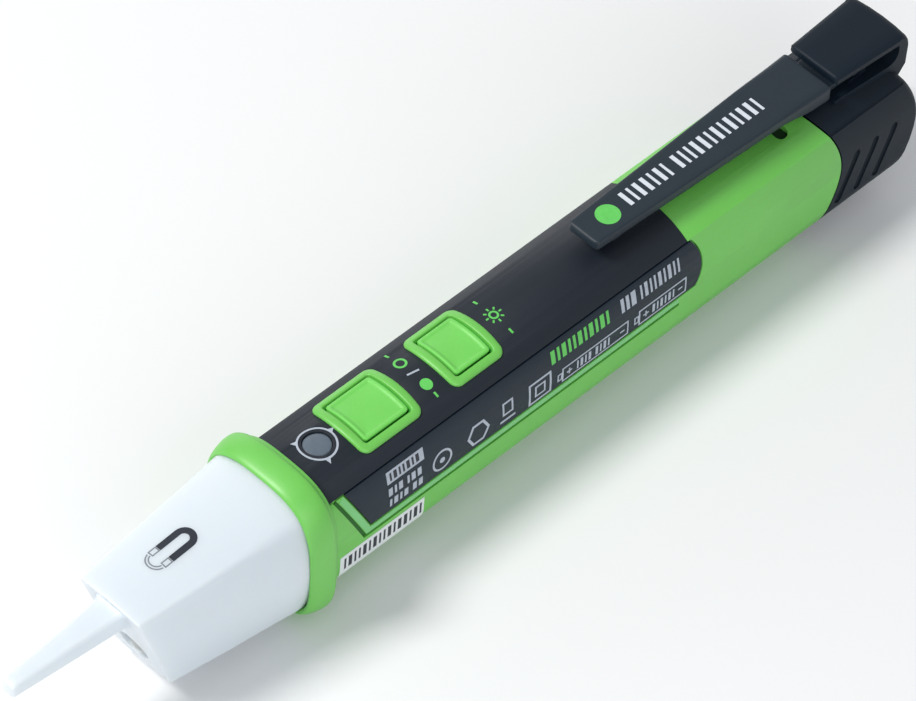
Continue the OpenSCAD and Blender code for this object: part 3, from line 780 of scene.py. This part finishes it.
def box(x, y, z):
    """Block between pairs of x, y and z."""
    (x0, x1), (y0, y1), (z0, z1) = x, y, z
    return loft([[(a, y0, z0), (a, y1, z0), (a, y1, z1), (a, y0, z1)] for a in (x0, x1)])


def section_rings(stations):
    """Rings of the body's section at stations of (x, inset)."""
    return [[(x, y, z) for y, z in body_outline(inset)] for x, inset in stations]


CAP_END, CAP_ARC = 127.5, 14.0        # x of the cap's rearmost point, and radius of its rear face
RIM = 1.1                             # radius of the edge of the rear face
SEAM = (96.0, 1.0, 14.25)             # x, z and radius of the arc that the cap's front edge follows
CELL_BORE = 5.45                      # radius of the plug's bore
MOUTH_HALF = 0.95                     # half height of the way in for the clip's tongue


def cap_rear(y, z):
    """Where the cap's rear face is along x: it is an arc in side view, slightly domed in plan."""
    return CAP_END - CAP_ARC + math.sqrt(CAP_ARC ** 2 - z * z) - 0.5 * (y / BODY_W) ** 2


rings = section_rings([(x, 0.0) for x in (101.0, 108.0, 114.0, 119.0)])
for inset in (0.0, 0.04, 0.12, 0.25, 0.42, 0.65, 0.9, 1.1, 1.8, 3.0, 4.5, 6.0, 7.5, 8.6):
    off = min(inset, RIM) / RIM
    edge = RIM * (1 - math.sqrt(1 - (1 - off) ** 2))
    ring = [(y * (1 - inset / BODY_W), z * (1 - inset / BODY_W)) for y, z in body_outline()]
    rings.append([(cap_rear(y, z) - edge, y, z) for y, z in ring])
cap = piece("cap_shell", *loft(rings), cap_plastic, "cap", "cap_black", ["end_cap"])

# Bridge over the clip: a block with a rounded rear, a little wider towards its rear
BRIDGE_X, BRIDGE_REAR = 112.0, 127.0
BRIDGE_TOP, BRIDGE_LOW = 15.2, 13.9   # heights of its top and underside
BRIDGE_R, BRIDGE_EDGE = 2.4, 0.5      # radii of its rear and its front edge


def bridge_half(x):
    """Half width of the bridge."""
    return lerp(4.7, 5.6, (x - BRIDGE_X) / (BRIDGE_REAR - BRIDGE_X))


bridge_side = [(BRIDGE_X, 6.0), (BRIDGE_X, BRIDGE_TOP - BRIDGE_EDGE)]
bridge_side += [(BRIDGE_X + BRIDGE_EDGE * (1 - math.cos(a)), BRIDGE_TOP - BRIDGE_EDGE * (1 - math.sin(a)))
                for a in radians((30, 60, 90))]
bridge_side += [(x, BRIDGE_TOP) for x in (114.5, 117, 119.5, 122)]
bridge_side += [(BRIDGE_REAR - BRIDGE_R * (1 - math.sin(a)), BRIDGE_TOP - BRIDGE_R * (1 - math.cos(a)))
                for a in radians(range(0, 91, 9))]
bridge_side += [(126.6, 9.0), (124.0, 5.0)]


def bridge_skin(edge):
    """The side outline repeated across the block, pulled in at the block's side edges."""
    rows = []
    for share, pull in ((-1.0, edge), (-1.0, edge * 0.3), (-0.93, 0.0), (-0.5, 0.0), (0.0, 0.0), (0.5, 0.0),
                        (0.93, 0.0), (1.0, edge * 0.3), (1.0, edge)):
        row = []
        for x, z in bridge_side:
            half = bridge_half(x)
            y = math.copysign(half - (edge - pull), share) if abs(share) == 1.0 else (half - edge) * share
            lift = pull if z > 9 else 0.0
            bowed = 0.5 * ease((x - 121) / 4) * (1 - (y / half) ** 2)
            row.append((x + bowed - (lift * 0.8 if x > 124 else 0.0) + (lift * 0.6 if x < 112.2 else 0.0), y,
                        z - (lift if x < 125 else lift * 0.3)))
        rows.append(row)
    return loft(rows)


carve(cap, bridge_skin(0.45), "UNION")
# The slot under the bridge, its floor rising in a round corner at the rear
SLOT_REAR, SLOT_RUN, SLOT_RISE, SLOT_R = 124.8, 1.9, 2.1, 0.4
floor_end = SLOT_REAR - SLOT_RUN
slot_side = [(103.0, BRIDGE_LOW), (103.0, BODY_H), (floor_end, BODY_H)]
slot_side += [(floor_end + SLOT_RUN * math.sin(a), BODY_H + SLOT_RISE * (1 - math.cos(a)))
              for a in radians(range(10, 91, 10))]
slot_side += [(SLOT_REAR - SLOT_R * (1 - math.cos(a)), BRIDGE_LOW - SLOT_R * (1 - math.sin(a)))
              for a in radians(range(0, 91, 18))]
carve(cap, across(slot_side, 12))
carve(cap, cross_rod(*SEAM, 14, 240))
# The hollow, and the plug around the rear cell that goes into the shell
carve(cap, loft(section_rings([(90.0, 2.6), (110.0, 2.6)])))
PLUG = [(100.5, 2.4), (100.8, 1.7), (101.1, 1.5), (110.5, 1.5), (110.5, 2.4)]
plug = mesh_object("plug", *loft(section_rings(PLUG), around=True))
carve(plug, rod(99.5, 110.0, CELL_BORE, CELL_Z))
carve(cap, plug, "UNION")
# The block under the bridge that holds the clip's bead, with its socket and the way in from the front
carve(cap, box((116.2, 119.8), (-3.6, 3.6), (8.0, 14.2)), "UNION")
carve(cap, cross_rod(*PIVOT, BEAD_R + 0.05, 5.3))
carve(cap, box((BRIDGE_X, PIVOT[0]), (-9, 9), (PIVOT[1] - MOUTH_HALF, PIVOT[1] + MOUTH_HALF)))


def groove(surface, start, end, radius, steps=10, sides=14):
    """Cutter along a straight line on a body side, rounded at both ends, from and to (x, height)."""
    path = [Vector(surface(*mix(start, end, i / steps), -0.08)) for i in range(steps + 1)]
    first, last = (path[1] - path[0]).normalized(), (path[-1] - path[-2]).normalized()
    stations = [(path[0] - first * radius * math.sin(a), first, math.cos(a))
                for a in radians((85, 60, 35, 12))]
    stations += [(p, (path[min(i + 1, steps)] - path[max(i - 1, 0)]).normalized(), 1.0)
                 for i, p in enumerate(path)]
    stations += [(path[-1] + last * radius * math.sin(a), last, math.cos(a))
                 for a in radians((12, 35, 60, 85))]
    rings = []
    for centre, along, size in stations:
        u = along.cross(Vector((0, 1, 0))).normalized()
        v = along.cross(u)
        rings.append([tuple(centre + (u * a + v * b) * radius * size) for a, b in circle(1.0, sides)])
    return loft(rings)


GROOVE_X, GROOVE_PITCH, GROOVE_RUN = 110.2, 4.05, 3.2
GROOVE_LOW, GROOVE_HIGH, GROOVE_R = -5.8, 1.8, 0.68
LINE_Y, LINE_Z, LINE_R = 7.6, 8.1, 0.3            # on the corner where top and side meet

for side in (1, -1):
    surface = flank(side)
    for k in range(3):
        x = GROOVE_X + GROOVE_PITCH * k
        carve(cap, groove(surface, (x, GROOVE_LOW), (x + GROOVE_RUN, GROOVE_HIGH), GROOVE_R))
    # Fine line along the cap's upper corner, from the seam to the rear
    rings = [[(x, side * (LINE_Y + a), LINE_Z + b) for a, b in circle(LINE_R, 12)] for x in (104.0, 130.0)]
    carve(cap, loft(rings))
finish_cuts(cap, cap_plastic, 34)


# ------------------------------------------------------------- printed marks

STEP = 0.8                            # longest piece of a printed strip before it is divided
NAIL_X, NAIL_DEPTH = 102.0, 1.2       # middle and depth of the nail recess under the clip


def clip_face(x, y, rise=0.0):
    return (x, y, CLIP_TOP + rise)


def recess_floor(x, y, rise=0.0):
    return (x, y, BODY_H - NAIL_DEPTH + rise)


def tip_face(x, y, rise=0.0):
    return (x, y, tip_height(x, y) + rise)


def divide(path, closed):
    """The path with its long stretches divided."""
    out = []
    stops = path + path[:1] if closed else path
    for (u0, v0), (u1, v1) in zip(stops, stops[1:]):
        parts = max(1, math.ceil(math.hypot(u1 - u0, v1 - v0) / STEP))
        out += [(lerp(u0, u1, i / parts), lerp(v0, v1, i / parts)) for i in range(parts)]
    return out if closed else out + path[-1:]


def strip(surface, path, width, closed, lift, sink):
    """Closed thin skin on a surface along a path of (u, v)."""
    path = divide(path, closed)
    n, columns = len(path), max(1, math.ceil(width / STEP))
    rings = []
    for i, (u, v) in enumerate(path):
        before = path[i - 1] if closed or i else path[0]
        after = path[(i + 1) % n] if closed or i < n - 1 else path[-1]
        sides = []
        for (ua, va), (ub, vb) in ((before, (u, v)), ((u, v), after)):
            length = math.hypot(ub - ua, vb - va)
            if length > 1e-9:
                sides.append(((va - vb) / length, (ub - ua) / length))
        (nu, nv), (mu, mv) = sides[0], sides[-1]
        scale = width / 2 / (1 + nu * mu + nv * mv)
        ou, ov = (nu + mu) * scale, (nv + mv) * scale
        shares = [1 - 2 * k / columns for k in range(columns + 1)]
        rings.append([surface(u + ou * k, v + ov * k, lift) for k in shares]
                     + [surface(u + ou * k, v + ov * k, -sink) for k in reversed(shares)])
    return loft(rings, around=closed)


class Marks:
    """Printed marks on one surface, gathered into a single piece."""

    def __init__(self, surface, lift=0.03, sink=0.06):
        self.surface, self.lift, self.sink = surface, lift, sink
        self.points, self.faces = [], []

    def add(self, points, faces):
        first = len(self.points)
        self.points += points
        self.faces += [tuple(first + i for i in face) for face in faces]

    def line(self, path, width=0.35, closed=False):
        self.add(*strip(self.surface, path, width, closed, self.lift, self.sink))

    def box(self, u0, v0, u1, v1, width=0.35):
        self.line([(u0, v0), (u1, v0), (u1, v1), (u0, v1)], width, closed=True)

    def row(self, u, v0, v1, widths, gap, lean=0.0):
        """Upright bars side by side; a negative width leaves a space."""
        for width in widths:
            if width > 0:
                self.line([(u + width / 2, v0), (u + width / 2 + lean, v1)], width)
                u += width + gap
            else:
                u -= width

    def arc(self, centre, radius, width, start=0.0, end=360.0):
        whole = end - start >= 360
        turns = 36 if whole else max(4, int((end - start) / 10))
        angles = radians(lerp(start, end, i / turns) for i in range(turns if whole else turns + 1))
        path = [(centre[0] + radius * math.cos(a), centre[1] + radius * math.sin(a)) for a in angles]
        self.line(path, width, closed=whole)

    def disc(self, centre, radius):
        rings = []
        for share, rise in ((1.0, -self.sink), (1.0, self.lift), (0.66, self.lift), (0.33, self.lift)):
            rings.append([self.surface(centre[0] + a, centre[1] + b, rise)
                          for a, b in circle(radius * share, 32)])
        self.add(*loft(rings))

    def wedge(self, centre, degrees, inner, outer, half):
        """Small triangle pointing away from a centre."""
        c, s = math.cos(math.radians(degrees)), math.sin(math.radians(degrees))
        corners = [(centre[0] + r * c - side * s, centre[1] + r * s + side * c)
                   for r, side in ((inner, -half), (outer, 0.0), (inner, half))]
        self.add(*loft([[self.surface(u, v, rise) for u, v in corners] for rise in (-self.sink, self.lift)]))

    def done(self, name, material, body="housing"):
        piece(name, self.points, self.faces, material, body, smooth=30)


# Side panel: a plate and two rows of bars, pictograms, two battery outlines, and bars above them
label = flank(-1)
grey = Marks(label)
grey.line([(16.9, 5.5), (24.1, 5.5)], 2.1)
grey.row(17.0, 2.15, 3.6, (0.75, 0.4, 0.75, -0.5, 0.4, 0.75, 0.75), 0.42)
grey.row(17.2, 0.0, 1.45, (0.4, 0.75, 0.4, 0.75, -0.5, 0.75, 0.75), 0.42)
grey.arc((27.5, 1.75), 1.75, 0.36)
grey.disc((27.5, 1.75), 0.5)
grey.line([(34.7 + a, 1.8 + b) for a, b in circle(2.0, 6)], 0.42, closed=True)
grey.box(39.7, 1.55, 41.5, 3.7, 0.32)
grey.line([(39.1, 0.35), (42.1, 0.35)], 0.42)
grey.box(45.0, -0.4, 49.2, 3.4, 0.36)
grey.box(46.2, 0.6, 48.0, 2.4, 0.3)
for start, end, low, high in ((51.7, 65.0, -0.4, 2.1), (67.4, 77.0, -0.4, 2.3)):
    middle = (low + high) / 2
    grey.box(start, low, end, high, 0.26)
    grey.box(start - 0.95, middle - 0.6, start - 0.25, middle + 0.6, 0.24)
    grey.line([(start + 0.8, middle), (start + 1.9, middle)], 0.28)
    grey.line([(start + 1.35, middle - 0.55), (start + 1.35, middle - 0.18)], 0.28)
    grey.line([(start + 1.35, middle + 0.18), (start + 1.35, middle + 0.55)], 0.28)
    grey.line([(end - 1.6, middle), (end - 0.7, middle)], 0.28)
grey.row(54.6, 0.05, 1.65, (0.3, 0.5, 0.3, 0.5, -0.5, 0.5, 0.3, 0.5, 0.3), 0.42)
grey.row(70.1, 0.15, 1.75, (0.5, 0.3, 0.5, 0.3, 0.5, 0.3), 0.42)
grey.row(63.9, 4.3, 6.7, (0.62, 0.62, 0.95), 0.42)
grey.row(67.9, 4.3, 6.7, (0.36, 0.62, 0.36, 0.36, 0.62, 0.36, 0.62, 0.36, 0.36), 0.5)
grey.done("side_marks_grey", grey_print)

dark = Marks(label, 0.06, 0.0)
dark.row(17.5, 4.85, 6.15, (0.34, 0.6, 0.34, 0.34, 0.6, 0.34, 0.6), 0.42)
dark.done("side_marks_dark", dark_print)

green = Marks(label)
green.row(49.6, 4.3, 6.6, (0.8, 0.5, 0.8, 0.5, 0.5, 0.8, 0.5, 0.8, 0.5, 0.8, 0.5), 0.48)
green.done("side_marks_green", green_print)

# Top: dot and ring between the buttons, a small sun behind the second one, ticks around the window
BETWEEN_X, SUN_X = 30.3, 46.2
top = Marks(crown)
for x, y in ((BETWEEN_X, -4.9), (BETWEEN_X, 4.9), (SUN_X, -3.9), (SUN_X, 3.2)):
    top.line([(x, y), (x, y + 0.85)], 0.34)
top.disc((BETWEEN_X, -2.5), 0.95)
top.arc((BETWEEN_X, 2.7), 0.85, 0.36)
top.arc((SUN_X, 0.0), 0.62, 0.32)
for c, s in circle(1.0, 8):
    top.line([(SUN_X + c, s), (SUN_X + 1.5 * c, 1.5 * s)], 0.28)
top.done("top_marks_green", green_print)

top = Marks(crown)
top.line([(BETWEEN_X - 1, 0.35), (BETWEEN_X + 1, -0.05)], 0.3)
top.arc((WINDOW_X, 0.0), 2.85, 0.3)
for turn in (8, 137, 257):
    top.wedge((WINDOW_X, 0.0), turn, 2.9, 3.75, 0.42)
top.done("top_marks_grey", grey_print)

# Clip: a plain dot and a row of bars
mark = Marks(clip_face)
mark.disc((69.0, 0.0), 1.9)
mark.done("clip_dot", green_print, "clip")
mark = Marks(clip_face)
mark.row(72.7, -1.1, 1.7, (0.7, 0.45, 0.7, 0.7, 0.45, 0.7, 0.45, -0.9, 0.7, 0.45, 0.45, 0.7, 0.7, 0.45, 0.7,
                           0.45, 0.7, 0.45, 0.7, 0.7, 0.45), 0.8)
mark.done("clip_marks", white_print, "clip")

# Tip: a horseshoe magnet with pale ends, and the line of its field
LEG_Y, LEG_END, BEND_X = 1.3, -17.7, -14.0        # legs of the magnet, from their ends to the bend
magnet = Marks(tip_face)
bend = [(BEND_X + LEG_Y * math.cos(a), LEG_Y * math.sin(a)) for a in radians(range(75, -76, -15))]
magnet.line([(LEG_END, LEG_Y), (BEND_X, LEG_Y), *bend, (BEND_X, -LEG_Y), (LEG_END, -LEG_Y)], 1.05)
magnet.done("tip_magnet", dark_print)
ends = Marks(tip_face)
for y in (LEG_Y, -LEG_Y):
    ends.box(-19.1, y - 0.43, -17.85, y + 0.43, 0.2)
for radius in (1.15, 1.6):
    ends.arc((-19.15, 0.0), radius, 0.2, 100, 260)
ends.done("tip_magnet_ends", field_print)

# Blank label with bars, carried round the belly
sheet = Marks(label, 0.06, 0.06)
sheet.line([(7.7, -6.6), (24.2, -6.6)], 6.0)
sheet.done("belly_label", paper)
bars = Marks(label, 0.09, -0.02)
bars.row(8.5, -6.5, -4.3, (0.35, 0.65, 0.35, 0.35, 0.65, 0.35, 0.65, 0.35, 0.35, 0.65, 0.35, 0.65, 0.65, 0.35,
                           0.65, 0.35), 0.5)
bars.done("belly_label_marks", dark_print)

# Floor of the nail recess under the clip, painted near black green as the recess's shade and the clip's
# shadow
mark = Marks(recess_floor, 0.02, 0.05)
mark.line([(NAIL_X, -4.25), (NAIL_X, 4.25)], 2.35)
mark.done("nail_recess_shade", recess_shade_green)

# Dark line and pale strip in front of and below each side panel; the dark line is a groove floor painted dark
# green as shade
PANEL_FRONT, PANEL_REAR, PANEL_LOW = 9.3, 75.8, -0.85
PANEL_SLANT = 0.5                     # run of the panel's front edge per unit of height
BORDER_TOP = 7.4


def beside_panel(z, off):
    """Point at a distance in front of the panel's slanted front edge."""
    return (PANEL_FRONT + (SHOULDER_Z - z) * PANEL_SLANT - off * math.hypot(1, PANEL_SLANT), z)


for name, side in (("right", -1), ("left", 1)):
    for kind, off, width, lift, sink, material in (("groove", 1.75, 0.56, -0.3, 0.5, groove_shade_green),
                                                   ("border", 0.85, 1.0, 0.05, 0.1, border_green)):
        low = PANEL_LOW - off
        mark = Marks(flank(side), lift, sink)
        mark.line([beside_panel(BORDER_TOP, off), beside_panel(low, off), (PANEL_REAR, low)], width)
        mark.done(name + "_panel_" + kind, material)
